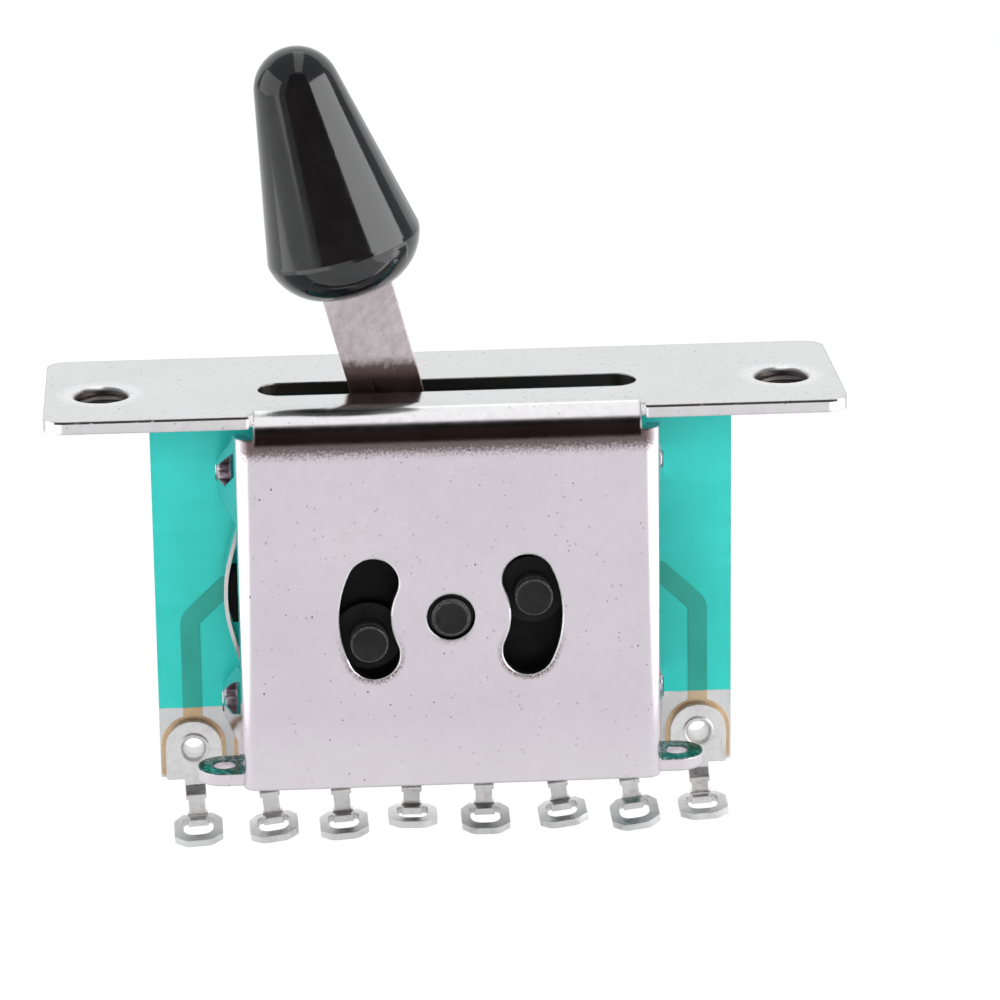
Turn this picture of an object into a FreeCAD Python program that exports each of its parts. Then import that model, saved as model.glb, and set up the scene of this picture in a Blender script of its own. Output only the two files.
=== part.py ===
import FreeCAD, Part
import math
import os
import Sketcher

os.makedirs("parts", exist_ok=True)

# Guitar pickup selector switch with five lever positions, standing at the second one.
# Lengths are millimetres. The origin is midway between the two mounting holes, on the
# top face of the plate. X runs right along the plate, Y runs back, Z runs up.

doc = FreeCAD.newDocument("selector_switch")
V = FreeCAD.Vector

SIZES = [
    ("hole_spacing", 41.3, "mounting hole centres, 1 5/8 inch"),
    ("hole_radius", 1.5, "tapped mounting hole"),
    ("hole_rim", 0.5, "rounded mouth of a mounting hole"),
    ("collar_radius", 2.2, "outer radius of the drawn collar under a mounting hole"),
    ("collar_drop", 0.9, "drawn collar below the sheet"),
    ("plate_length", 48.1, "plate, end to end"),
    ("plate_front", 5.75, "hole line to the front edge and the outer face of the wall"),
    ("plate_back", 7.6, "hole line to the back edge"),
    ("plate_corner", 1.2, "corner radius of the plate"),
    ("sheet_gauge", 0.8, "thickness of the frame sheet"),
    ("slot_half", 11.5, "half length of the lever slot"),
    ("slot_shift", 0.28, "lever slot centre off the middle"),
    ("slot_width", 2.9, "lever slot, front to back"),
    ("wall_width", 25.2, "front wall over its corners"),
    ("wall_bottom", 23.7, "plate top to the foot of the wall"),
    ("bend_outer", 2.0, "outer radius of the plate bend"),
    ("corner_outer", 0.9, "outer radius of the side bends"),
    ("strip_half", 11.6, "half width of the bent strip between the reliefs"),
    ("relief_slit", 0.25, "slit beside the bent strip"),
    ("slit_depth", 0.55, "length of the slit from the front edge"),
    ("relief_bottom", 1.5, "plate top to the head of the side bends"),
    ("flare_left", 1.25, "left side wall, outward lean at the board"),
    ("flare_right", 1.0, "right side wall, outward lean at the board"),
    ("pivot_drop", 12.94, "plate top to the pivot"),
    ("pivot_hole", 1.46, "pivot hole radius"),
    ("kidney_radius", 5.19, "centreline radius of the curved slots"),
    ("kidney_half", 1.57, "half width of the curved slots"),
    ("kidney_turn", 25.8, "degrees from level to the end centres of a curved slot"),
    ("ear_top", 22.9, "plate top to the ground ears"),
    ("ear_reach", 13.9, "centre of a ground ear from the middle"),
    ("ear_round", 1.6, "end radius of a ground ear"),
    ("ear_hole", 0.7, "hole radius of a ground ear"),
    ("board_half", 17.86, "half width of the circuit board"),
    ("board_front", 2.36, "hole line to the face of the board"),
    ("board_gauge", 1.5, "thickness of the board"),
    ("board_top", 0.9, "plate top to the head of the board"),
    ("board_foot", 25.6, "plate top to the foot of the board"),
    ("copper_gauge", 0.05, "thickness of the copper tracks"),
    ("track_width", 1.2, "width of a copper track"),
    ("lug_pitch", 4.507, "lug spacing"),
    ("lug_line", 23.56, "plate top to the line of rivets"),
    ("lug_gauge", 0.45, "thickness of the lug sheet"),
    ("lug_round", 1.75, "radius of the lug head"),
    ("neck_width", 1.25, "width of the lug neck"),
    ("rivet_hole", 0.82, "hole radius for the eyelets"),
    ("rivet_outer", 0.8, "eyelet barrel radius"),
    ("rivet_bore", 0.66, "eyelet bore radius"),
    ("lever_lean", 14.9, "degrees the lever stands to the left"),
    ("detent_pitch", 14.9, "degrees from one position to the next"),
    ("blade_width", 4.3, "lever blade width"),
    ("blade_gauge", 1.1, "lever blade thickness"),
    ("blade_foot", 2.4, "pivot to the foot of the blade"),
    ("tang_width", 3.3, "blade width inside the knob"),
    ("tang_head", 28.0, "pivot to the end of the blade"),
    ("slip_gap", 0.02, "gap all round a pressed piece"),
    ("knob_foot", 19.7, "pivot to the foot of the knob"),
    ("knob_waist", 22.75, "pivot to the widest line of the knob"),
    ("knob_radius", 4.72, "radius at the widest line"),
    ("knob_tip", 2.6, "radius of the round tip"),
    ("knob_head", 35.1, "pivot to the top of the knob"),
    ("rotor_radius", 8.0, "hub radius"),
    ("rotor_front", 4.2, "hub face ahead of the hole line"),
    ("rotor_back", 1.2, "hub back behind the hole line"),
    ("cam_radius", 12.0, "radius over the crests of the notched edge"),
    ("notch_depth", 0.5, "depth of a notch"),
    ("cam_front", 0.6, "notched edge, front face"),
    ("flange_radius", 2.1, "bearing flange round a peg"),
    ("flange_face", 4.85, "hole line to the face of the flanges"),
    ("peg_orbit", 5.15, "pivot to the peg centres"),
    ("peg_radius", 1.14, "peg radius"),
    ("peg_face", 6.6, "hole line to the peg ends"),
    ("journal_radius", 1.4, "pivot journal radius"),
    ("journal_step", 5.4, "hole line to the step of the front journal"),
    ("nose_radius", 1.2, "radius of the nose ahead of the step"),
    ("journal_face", 6.1, "hole line to the front journal end"),
    ("journal_back", 3.9, "hole line to the rear journal end"),
    ("peg_break", 0.12, "chamfer on the pegs"),
    ("nose_break", 0.25, "chamfer on the journal nose"),
    ("leaf_gauge", 0.25, "thickness of the detent leaf"),
    ("leaf_front", 0.7, "leaf edge ahead of the hole line"),
    ("leaf_back", 1.9, "leaf edge behind the hole line"),
    ("pad_half", 1.6, "half height of the detent pad"),
    ("wiper_gauge", 0.2, "thickness of the wiper leaves"),
    ("wiper_width", 2.2, "width of the wiper leaves"),
]

sheet = doc.addObject("Spreadsheet::Sheet", "Sizes")
for row, (alias, value, note) in enumerate(SIZES, 1):
    sheet.set(f"A{row}", note)
    sheet.set(f"B{row}", str(value))
    sheet.setAlias(f"B{row}", alias)
doc.recompute()
size = {alias: float(sheet.get(alias)) for alias, value, note in SIZES}


# Helpers

def new_body(name, x=0.0, y=0.0, z=0.0, lean=0.0):
    """A body set down at a point and turned about Y."""
    made = doc.addObject("PartDesign::Body", name)
    made.Label = name
    made.Placement = FreeCAD.Placement(V(x, y, z), FreeCAD.Rotation(V(0, 1, 0), lean))
    return made


def new_sketch(owner, name, role, offset=None):
    """A sketch on one of the body's own origin planes."""
    flat = owner.newObject("Sketcher::SketchObject", name)
    support = next(item for item in owner.Origin.OriginFeatures if item.Role == role)
    flat.AttachmentSupport = [(support, "")]
    flat.MapMode = "FlatFace"
    if offset is not None:
        flat.AttachmentOffset = offset
    flat.Visibility = False
    return flat


def lifted(distance):
    """An offset along the normal of the sketch plane."""
    return FreeCAD.Placement(V(0, 0, distance), FreeCAD.Rotation())


def keep(flat, geometry):
    """Adds a piece of geometry and holds it where it is laid."""
    index = flat.addGeometry(geometry, False)
    flat.addConstraint(Sketcher.Constraint("Block", index))


def outline(flat, corners):
    """A closed outline through corners (x, y) or (x, y, corner radius)."""
    count = len(corners)
    turns = []
    for i, corner in enumerate(corners):
        here = V(corner[0], corner[1], 0)
        if len(corner) < 3 or corner[2] == 0:
            turns.append((here, None, here))
            continue
        before = V(corners[i - 1][0], corners[i - 1][1], 0) - here
        after = V(corners[(i + 1) % count][0], corners[(i + 1) % count][1], 0) - here
        before.normalize()
        after.normalize()
        half = before.getAngle(after) / 2
        inward = before + after
        inward.normalize()
        reach = corner[2] / math.tan(half)
        crown = here + inward * (corner[2] / math.sin(half) - corner[2])
        turns.append((here + before * reach, crown, here + after * reach))
    for i in range(count):
        start, crown, end = turns[i]
        if crown is not None:
            keep(flat, Part.Arc(start, crown, end))
        following = turns[(i + 1) % count][0]
        if end.distanceToPoint(following) > 1e-6:
            keep(flat, Part.LineSegment(end, following))


def circle(flat, across, up, radius):
    """A circle whose centre and radius follow the sheet."""
    x = float(flat.evalExpression(across))
    y = float(flat.evalExpression(up))
    r = float(flat.evalExpression(radius))
    index = flat.addGeometry(Part.Circle(V(x, y, 0), V(0, 0, 1), r), False)
    held = flat.addConstraint(Sketcher.Constraint("Radius", index, r))
    flat.setExpression(f"Constraints[{held}]", radius)
    if abs(x) < 1e-9:
        flat.addConstraint(Sketcher.Constraint("PointOnObject", index, 3, -2))
    else:
        held = flat.addConstraint(Sketcher.Constraint("DistanceX", -1, 1, index, 3, x))
        flat.setExpression(f"Constraints[{held}]", across)
    if abs(y) < 1e-9:
        flat.addConstraint(Sketcher.Constraint("PointOnObject", index, 3, -1))
    else:
        held = flat.addConstraint(Sketcher.Constraint("DistanceY", -1, 1, index, 3, y))
        flat.setExpression(f"Constraints[{held}]", up)


def ribbon(centre, gauge):
    """The outline of a bent strip about a centreline of (x, y) or (x, y, bend radius)."""
    left = []
    right = []
    for i, point in enumerate(centre):
        here = V(point[0], point[1], 0)
        bend = point[2] if len(point) > 2 else 0.0
        ahead = V(*centre[min(i + 1, len(centre) - 1)][:2], 0) - here
        behind = here - V(*centre[max(i - 1, 0)][:2], 0)
        ahead = ahead if ahead.Length > 0 else behind
        behind = behind if behind.Length > 0 else ahead
        ahead.normalize()
        behind.normalize()
        along = ahead + behind
        along.normalize()
        across = V(-along.y, along.x, 0)
        reach = gauge / 2 / along.dot(ahead)
        turn = behind.x * ahead.y - behind.y * ahead.x
        near = bend - gauge / 2 if bend else 0.0
        far = bend + gauge / 2 if bend else 0.0
        one = here + across * reach
        two = here - across * reach
        left.append((one.x, one.y, near if turn > 0 else far))
        right.append((two.x, two.y, far if turn > 0 else near))
    return left + right[::-1]


def pad(owner, name, flat, length, both=False, back=False):
    """Adds the sketch as a solid, along its normal, against it, or half each way."""
    made = owner.newObject("PartDesign::Pad", name)
    made.Profile = flat
    made.setExpression("Length", length)
    made.SideType = "Symmetric" if both else "One side"
    made.Reversed = back
    doc.recompute()
    owner.Tip = made
    return made


def pocket(owner, name, flat, length):
    """Cuts the sketch half each way, and makes sure that material went."""
    before = owner.Shape.Volume
    made = owner.newObject("PartDesign::Pocket", name)
    made.Profile = flat
    made.setExpression("Length", length)
    made.SideType = "Symmetric"
    doc.recompute()
    owner.Tip = made
    doc.recompute()
    if owner.Shape.Volume >= before - 1e-6:
        raise RuntimeError(name + " removed nothing")
    return made


def round_edges(feature, radius, height, axis):
    """Names of the circular edges of one radius whose centres lie at one height."""
    names = []
    for number, edge in enumerate(feature.Shape.Edges, 1):
        curve = edge.Curve
        if not isinstance(curve, Part.Circle) or abs(curve.Radius - radius) > 1e-4:
            continue
        if abs(getattr(curve.Center, axis) - height) < 1e-4:
            names.append(f"Edge{number}")
    return names


def dress(owner, kind, name, feature, names, alias):
    """A fillet or a chamfer on named edges."""
    made = owner.newObject("PartDesign::" + kind, name)
    made.Base = (feature, names)
    made.setExpression("Radius" if kind == "Fillet" else "Size", "Sizes." + alias)
    doc.recompute()
    owner.Tip = made
    return made


# Frame: one stamped and folded sheet with the plate, the wall, four ears and two ground ears

front = -size["plate_front"]
gauge = size["sheet_gauge"]
board_face = size["board_front"]
plate_half = size["plate_length"] / 2
strip = size["strip_half"]
tangent = front + size["bend_outer"]
slit_end = front + size["slit_depth"]
wing_in = strip + size["relief_slit"]

frame = new_body("frame")
flat = new_sketch(frame, "plate_outline", "XY_Plane")
corner = size["plate_corner"]
outline(flat, [
    (-plate_half, size["plate_back"], corner),
    (-plate_half, front, corner),
    (-wing_in, front, 0.15),
    (-wing_in, slit_end),
    (-strip, slit_end),
    (-strip, tangent),
    (strip, tangent),
    (strip, slit_end),
    (wing_in, slit_end),
    (wing_in, front, 0.15),
    (plate_half, front, corner),
    (plate_half, size["plate_back"], corner),
])
pad(frame, "plate", flat, "Sizes.sheet_gauge", back=True)

bend_centre = -size["bend_outer"]
flat = new_sketch(frame, "bend_section", "YZ_Plane")
outer = size["bend_outer"]
inner = outer - gauge
slant = math.sqrt(0.5)
keep(flat, Part.Arc(V(tangent, 0, 0),
                    V(tangent - outer * slant, bend_centre + outer * slant, 0),
                    V(front, bend_centre, 0)))
keep(flat, Part.LineSegment(V(front, bend_centre, 0), V(front + gauge, bend_centre, 0)))
keep(flat, Part.Arc(V(front + gauge, bend_centre, 0),
                    V(tangent - inner * slant, bend_centre + inner * slant, 0),
                    V(tangent, -gauge, 0)))
keep(flat, Part.LineSegment(V(tangent, -gauge, 0), V(tangent, 0, 0)))
pad(frame, "plate_bend", flat, "2 * Sizes.strip_half", both=True)

wall_half = size["wall_width"] / 2
side_depth = board_face - front


def side_outer(side, flare, y):
    """Outer face of a side wall at a depth y."""
    return side * (wall_half + flare * (y - front) / side_depth)


def side_inner(side, flare, y):
    """Inner face of a side wall at a depth y."""
    return side_outer(side, flare, y) - side * gauge * math.hypot(1, flare / side_depth)


left_flare = size["flare_left"]
right_flare = size["flare_right"]
inside = front + gauge
flat = new_sketch(frame, "wall_plan", "XY_Plane", lifted(bend_centre))
outline(flat, [
    (side_outer(-1, left_flare, board_face), board_face),
    (-wall_half, front, size["corner_outer"]),
    (wall_half, front, size["corner_outer"]),
    (side_outer(1, right_flare, board_face), board_face),
    (side_inner(1, right_flare, board_face), board_face),
    (side_inner(1, right_flare, inside), inside, 0.12),
    (side_inner(-1, left_flare, inside), inside, 0.12),
    (side_inner(-1, left_flare, board_face), board_face),
])
pad(frame, "walls", flat, "Sizes.wall_bottom - Sizes.bend_outer", back=True)

# Heads of the side bends stand up beside the plate bend, short of the plate
flat = new_sketch(frame, "side_head_plan", "XY_Plane", lifted(-size["relief_bottom"]))
for side, flare in ((-1, left_flare), (1, right_flare)):
    outline(flat, [
        (side * strip, front),
        (side * wall_half, front, size["corner_outer"]),
        (side_outer(side, flare, board_face), board_face),
        (side_inner(side, flare, board_face), board_face),
        (side_inner(side, flare, inside), inside, 0.12),
        (side * strip, inside),
    ])
pad(frame, "side_heads", flat, "Sizes.bend_outer - Sizes.relief_bottom + 0.1", back=True)

# Side walls cut to a sloping upper ear, a gap for the leaf and a sloping lower ear
beyond = board_face + 1.0
flat = new_sketch(frame, "side_cuts", "YZ_Plane")
outline(flat, [
    (tangent, -gauge - 0.02),
    (beyond, -gauge - 0.02),
    (beyond, -5.1),
    (2.3, -5.1),
    (0.4, -4.0, 2.0),
    (-3.3, -2.3, 2.0),
    (-4.35, -1.5),
    (-4.35, -1.3),
    (tangent, -1.3),
])
outline(flat, [
    (-4.6, -7.1, 0.4),
    (board_face, -7.1, 0.8),
    (board_face, -6.0),
    (beyond, -6.0),
    (beyond, -19.45),
    (2.3, -19.45),
    (-0.5, -18.0, 2.0),
    (-3.7, -16.3, 1.5),
    (-4.6, -16.3, 0.4),
])
outline(flat, [
    (-3.1, -21.5, 0.7),
    (beyond, -21.5),
    (beyond, -25.0),
    (-3.3, -25.0),
])
pocket(frame, "side_profile", flat, "4 * Sizes.wall_width")

flat = new_sketch(frame, "window_outlines", "YZ_Plane")
outline(flat, [
    (-4.4, -2.55, 0.3),
    (1.75, -5.15, 0.3),
    (1.95, -5.55, 0.3),
    (1.6, -6.05, 0.3),
    (-0.6, -5.85, 0.8),
    (-4.4, -4.1, 0.3),
])
outline(flat, [
    (-4.4, -17.1, 0.3),
    (-1.2, -18.25, 1.0),
    (1.8, -19.7, 0.25),
    (1.95, -20.2, 0.25),
    (1.4, -20.65, 0.3),
    (-0.7, -20.45, 0.8),
    (-4.4, -19.2, 0.3),
])
pocket(frame, "windows", flat, "4 * Sizes.wall_width")

# Tenons on the ears pass through the board
tenon_back = 4.5
TENONS = [(-6.3, -5.4), (-21.3, -20.1)]
flat = new_sketch(frame, "tenon_outlines", "XZ_Plane", lifted(-tenon_back))
for side, flare in ((-1, left_flare), (1, right_flare)):
    for low, high in TENONS:
        outline(flat, [
            (side_outer(side, flare, board_face), low),
            (side_inner(side, flare, board_face), low),
            (side_inner(side, flare, board_face), high),
            (side_outer(side, flare, board_face), high),
        ])
pad(frame, "tenons", flat, f"{tenon_back + 0.05} - Sizes.board_front")

# Ground ears folded outward at the foot of the wall
ear_line = -3.1
reach = size["ear_reach"]
end = size["ear_round"]
flat = new_sketch(frame, "ground_ear_outlines", "XY_Plane", lifted(-size["ear_top"]))
for side in (-1, 1):
    corners = [
        (side * 12.1, ear_line - end),
        (side * (reach + end), ear_line - end, end - 0.01),
        (side * (reach + end), ear_line + end, end - 0.01),
        (side * 12.9, ear_line + end, 0.3),
        (side * 12.75, -3.35, 0.3),
        (side * 12.1, -3.35),
    ]
    outline(flat, corners)
    circle(flat, f"{side} * Sizes.ear_reach", f"{ear_line}", "Sizes.ear_hole")
pad(frame, "ground_ears", flat, "Sizes.wall_bottom - Sizes.ear_top", back=True)

# Pivot hole and the two curved slots round it
flat = new_sketch(frame, "wall_openings", "XZ_Plane")
circle(flat, "0", "-Sizes.pivot_drop", "Sizes.pivot_hole")
pivot_z = -size["pivot_drop"]


def around(radius, degrees):
    """A point of the wall at a radius and angle from the pivot."""
    turn = math.radians(degrees)
    return V(radius * math.cos(turn), pivot_z + radius * math.sin(turn), 0)


orbit = size["kidney_radius"]
half = size["kidney_half"]
turn = size["kidney_turn"]
for middle in (0, 180):
    high = middle + turn
    low = middle - turn
    keep(flat, Part.Arc(around(orbit + half, low), around(orbit + half, middle),
                        around(orbit + half, high)))
    keep(flat, Part.Arc(around(orbit - half, low), around(orbit - half, middle),
                        around(orbit - half, high)))
    for angle, way in ((high, 1), (low, -1)):
        centre = around(orbit, angle)
        facing = math.radians(angle + way * 90)
        crown = centre + V(math.cos(facing), math.sin(facing), 0) * half
        keep(flat, Part.Arc(around(orbit + half, angle), crown, around(orbit - half, angle)))
pocket(frame, "wall_holes", flat, "4 * Sizes.plate_back")

# Lever slot, and the mounting holes: drawn down into collars, then tapped
flat = new_sketch(frame, "collar_outlines", "XY_Plane",
                  lifted(-size["sheet_gauge"] - size["collar_drop"]))
for side in ("-", ""):
    circle(flat, side + "Sizes.hole_spacing / 2", "0", "Sizes.collar_radius")
pad(frame, "hole_collars", flat, "Sizes.collar_drop + 0.5 * Sizes.sheet_gauge")

flat = new_sketch(frame, "lever_slot_outline", "XY_Plane")
slot_x = size["slot_shift"]
slot_r = size["slot_width"] / 2
run = size["slot_half"] - slot_r
keep(flat, Part.LineSegment(V(slot_x - run, slot_r, 0), V(slot_x + run, slot_r, 0)))
keep(flat, Part.Arc(V(slot_x + run, slot_r, 0), V(slot_x + run + slot_r, 0, 0),
                    V(slot_x + run, -slot_r, 0)))
keep(flat, Part.LineSegment(V(slot_x + run, -slot_r, 0), V(slot_x - run, -slot_r, 0)))
keep(flat, Part.Arc(V(slot_x - run, -slot_r, 0), V(slot_x - run - slot_r, 0, 0),
                    V(slot_x - run, slot_r, 0)))
for side in ("-", ""):
    circle(flat, side + "Sizes.hole_spacing / 2", "0", "Sizes.hole_radius")
holes = pocket(frame, "plate_holes", flat, "6 * Sizes.sheet_gauge")
names = round_edges(holes, size["hole_radius"], 0.0, "z")
dress(frame, "Fillet", "hole_rims", holes, names, "hole_rim")


# Circuit board with its rivet holes, the rear pivot hole and four tenon slots

board_back = board_face + size["board_gauge"]
lug_z = -size["lug_line"]
board_foot = -size["board_foot"]
LUGS = 8
circuit_board = new_body("circuit_board")
flat = new_sketch(circuit_board, "board_outline", "XZ_Plane", lifted(-board_back))
outline(flat, [
    (-size["board_half"], -size["board_top"], 0.15),
    (size["board_half"], -size["board_top"], 0.15),
    (size["board_half"], board_foot, 0.15),
    (-size["board_half"], board_foot, 0.15),
])
circle(flat, "0", "-Sizes.pivot_drop", "Sizes.pivot_hole")
for number in range(LUGS):
    place = number - (LUGS - 1) / 2
    circle(flat, f"{place} * Sizes.lug_pitch", "-Sizes.lug_line", "Sizes.rivet_hole")
for side, flare in ((-1, left_flare), (1, right_flare)):
    for low, high in TENONS:
        outline(flat, [
            (side_outer(side, flare, board_face) + side * 0.05, low - 0.05),
            (side_inner(side, flare, board_face) - side * 0.05, low - 0.05),
            (side_inner(side, flare, board_face) - side * 0.05, high + 0.05),
            (side_outer(side, flare, board_face) + side * 0.05, high + 0.05),
        ])
pad(circuit_board, "board", flat, "Sizes.board_gauge")


# Copper tracks: a ring under each lug, a run up the board and a contact land near the rotor

ROUTES = [
    [(-15.77, -15.3, 0.8), (-13.3, -12.94, 0.8), (-8.6, -12.94)],
    [(-11.27, -19.4, 0.8), (-8.0, -16.4)],
    [(-6.76, -20.6, 0.8), (-5.6, -19.2)],
    [(-2.25, -20.4)],
    [(2.25, -20.4)],
    [(6.76, -20.6, 0.8), (5.6, -19.2)],
    [(11.27, -19.4, 0.8), (8.0, -16.4)],
    [(15.77, -15.3, 0.8), (13.3, -12.94, 0.8), (8.6, -12.94)],
]
for number, route in enumerate(ROUTES):
    place = number - (LUGS - 1) / 2
    x = place * size["lug_pitch"]
    track = new_body(f"copper_track_{number + 1}")
    flat = new_sketch(track, "run_outline", "XZ_Plane", lifted(-board_face))
    outline(flat, ribbon([(x, lug_z)] + route, size["track_width"]))
    pad(track, "run", flat, "Sizes.copper_gauge")
    flat = new_sketch(track, "ring_outline", "XZ_Plane", lifted(-board_face))
    outline(flat, [
        (x - 2.0, board_foot + 0.15, 0.2),
        (x + 2.0, board_foot + 0.15, 0.2),
        (x + 2.0, lug_z + 2.0, 1.95),
        (x - 2.0, lug_z + 2.0, 1.95),
    ])
    pad(track, "ring", flat, "Sizes.copper_gauge")
    flat = new_sketch(track, "land_outline", "XZ_Plane", lifted(-board_face))
    circle(flat, f"{route[-1][0]}", f"{route[-1][1]}", "0.8 * Sizes.track_width")
    pad(track, "land", flat, "Sizes.copper_gauge")
    flat = new_sketch(track, "rivet_clearance", "XZ_Plane")
    circle(flat, f"{place} * Sizes.lug_pitch", "-Sizes.lug_line", "Sizes.rivet_hole")
    pocket(track, "rivet_passage", flat, "4 * Sizes.plate_back")


# Solder lugs: a riveted head, a kinked neck and an octagonal wire loop bent forward by hand

LOOP_DROP = [12.0, 8.0, 7.3, 0.5, 11.0, 6.2, 13.0, 5.0]
NECK_LEAN = [3.0, 7.0, 4.0, -1.0, 0.0, 7.5, 7.5, 3.0]
NECK_DROP = [2.47, 2.55, 2.57, 2.30, 2.37, 2.32, 2.34, 2.18]
lug_back = board_face - size["copper_gauge"]
lug_mid = lug_back - size["lug_gauge"] / 2
for number in range(LUGS):
    place = number - (LUGS - 1) / 2
    lug = new_body(f"solder_lug_{number + 1}", place * size["lug_pitch"], 0.0, board_foot)
    flat = new_sketch(lug, "head_outline", "XZ_Plane", lifted(-lug_back))
    head = size["lug_round"]
    rise = lug_z - board_foot
    outline(flat, [
        (-head, 0.0, 0.15),
        (head, 0.0, 0.15),
        (head, rise + head, head - 0.02),
        (-head, rise + head, head - 0.02),
    ])
    circle(flat, "0", "Sizes.board_foot - Sizes.lug_line", "Sizes.rivet_hole")
    pad(lug, "head", flat, "Sizes.lug_gauge")
    lean = -NECK_LEAN[number]
    swing = FreeCAD.Rotation(V(0, 1, 0), lean)
    drop = math.radians(LOOP_DROP[number])
    knee = (lug_mid - 0.35, -NECK_DROP[number])
    stub = (knee[0] - 0.75 * math.cos(drop), knee[1] - 0.75 * math.sin(drop))
    flat = new_sketch(lug, "neck_section", "YZ_Plane",
                      FreeCAD.Placement(V(0, 0, 0), FreeCAD.Rotation(V(1, 0, 0), lean)))
    outline(flat, ribbon([
        (lug_mid, 0.25),
        (lug_mid, -0.45, 0.3),
        (knee[0], -0.95, 0.3),
        (knee[0], knee[1], 0.35),
        stub,
    ], size["lug_gauge"]))
    pad(lug, "neck", flat, "Sizes.neck_width", both=True)
    flat = new_sketch(lug, "waist_outline", "XZ_Plane",
                      FreeCAD.Placement(V(0, 0, 0), FreeCAD.Rotation(V(0, 0, 1), -lean)))
    for side in (-1, 1):
        outline(flat, [
            (side * 0.5, -1.2, 0.1),
            (side * 0.9, -1.2),
            (side * 0.9, knee[1] + 0.3),
            (side * 0.5, knee[1] + 0.3, 0.1),
        ])
    pocket(lug, "waist", flat, "4 * Sizes.plate_back")
    loop_turn = swing.multiply(FreeCAD.Rotation(V(1, 0, 0), LOOP_DROP[number]))
    origin = swing.multVec(V(0, knee[0], knee[1]))
    flat = new_sketch(lug, "loop_outline", "XY_Plane", FreeCAD.Placement(origin, loop_turn))
    outline(flat, [
        (-0.95, -0.05, 0.2), (0.95, -0.05, 0.2), (1.5, -0.7, 0.2), (1.5, -2.4, 0.15),
        (0.8, -3.05, 0.8), (-0.8, -3.05, 0.8), (-1.5, -2.4, 0.15), (-1.5, -0.7, 0.2),
    ])
    outline(flat, [
        (-0.95, -0.5, 0.35), (0.95, -0.5, 0.35), (0.95, -2.4, 0.7), (-0.95, -2.4, 0.7),
    ])
    pad(lug, "loop", flat, "Sizes.lug_gauge", both=True)


# Eyelets: hollow rivets through lug, track and board, lips rolled at both ends

for number in range(LUGS):
    place = number - (LUGS - 1) / 2
    eyelet = new_body(f"eyelet_{number + 1}", place * size["lug_pitch"], 0.0, lug_z)
    flat = new_sketch(eyelet, "rivet_section", "YZ_Plane")
    bore = size["rivet_bore"]
    barrel = size["rivet_outer"]
    face = lug_back - size["lug_gauge"]
    outline(flat, [
        (face - 0.18, bore + 0.14, 0.06),
        (face + 0.05, bore, 0.1),
        (board_back, bore, 0.1),
        (board_back + 0.18, bore + 0.2, 0.06),
        (board_back + 0.18, barrel + 0.35, 0.06),
        (board_back, barrel + 0.35, 0.06),
        (board_back, barrel),
        (face, barrel),
        (face, barrel + 0.16, 0.06),
        (face - 0.18, barrel + 0.16, 0.06),
    ])
    spun = eyelet.newObject("PartDesign::Revolution", "rivet")
    spun.Profile = flat
    spun.ReferenceAxis = (flat, ["H_Axis"])
    spun.Angle = 360
    doc.recompute()
    eyelet.Tip = spun


# Rotor: moulded hub with pegs, journals, blade slot and the notched edge, drawn upright

lean = -size["lever_lean"]
rotor = new_body("rotor", 0.0, 0.0, pivot_z, lean)
flat = new_sketch(rotor, "hub_outline", "XZ_Plane", lifted(-size["rotor_back"]))
circle(flat, "0", "0", "Sizes.rotor_radius")
pad(rotor, "hub", flat, "Sizes.rotor_front + Sizes.rotor_back")

flat = new_sketch(rotor, "notched_edge_outline", "XZ_Plane", lifted(-size["rotor_back"]))
crest = size["cam_radius"]
pitch = size["detent_pitch"]
notch_half = 5.0
root = size["rotor_radius"] - 1.0


def polar(radius, degrees):
    """A point of the rotor face at a radius and angle."""
    spin = math.radians(degrees)
    return V(radius * math.cos(spin), radius * math.sin(spin), 0)


first = 180 - 2 * pitch - 8.0
last = 180 + 2 * pitch + 8.0
previous = polar(crest, first)
keep(flat, Part.LineSegment(polar(root, first), previous))
for step in range(-2, 3):
    middle = 180 + step * pitch
    start = polar(crest, middle - notch_half)
    stop = polar(crest, middle + notch_half)
    keep(flat, Part.LineSegment(previous, start))
    keep(flat, Part.Arc(start, polar(crest - size["notch_depth"], middle), stop))
    previous = stop
keep(flat, Part.LineSegment(previous, polar(crest, last)))
keep(flat, Part.LineSegment(polar(crest, last), polar(root, last)))
keep(flat, Part.Arc(polar(root, last), polar(root, 180), polar(root, first)))
pad(rotor, "notched_edge", flat, "Sizes.rotor_back + Sizes.cam_front")

flat = new_sketch(rotor, "flange_outlines", "XZ_Plane", lifted(size["rotor_front"] - 0.1))
for side in ("-", ""):
    circle(flat, side + "Sizes.peg_orbit", "0", "Sizes.flange_radius")
pad(rotor, "flanges", flat, "Sizes.flange_face - Sizes.rotor_front + 0.1")

flat = new_sketch(rotor, "peg_outlines", "XZ_Plane", lifted(size["rotor_front"] - 0.1))
for side in ("-", ""):
    circle(flat, side + "Sizes.peg_orbit", "0", "Sizes.peg_radius")
pegs = pad(rotor, "pegs", flat, "Sizes.peg_face - Sizes.rotor_front + 0.1")
names = round_edges(pegs, size["peg_radius"], -size["peg_face"], "y")
dress(rotor, "Chamfer", "peg_chamfers", pegs, names, "peg_break")

flat = new_sketch(rotor, "front_journal_outline", "XZ_Plane", lifted(size["rotor_front"] - 0.1))
circle(flat, "0", "0", "Sizes.journal_radius")
pad(rotor, "front_journal", flat, "Sizes.journal_step - Sizes.rotor_front + 0.1")

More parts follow.
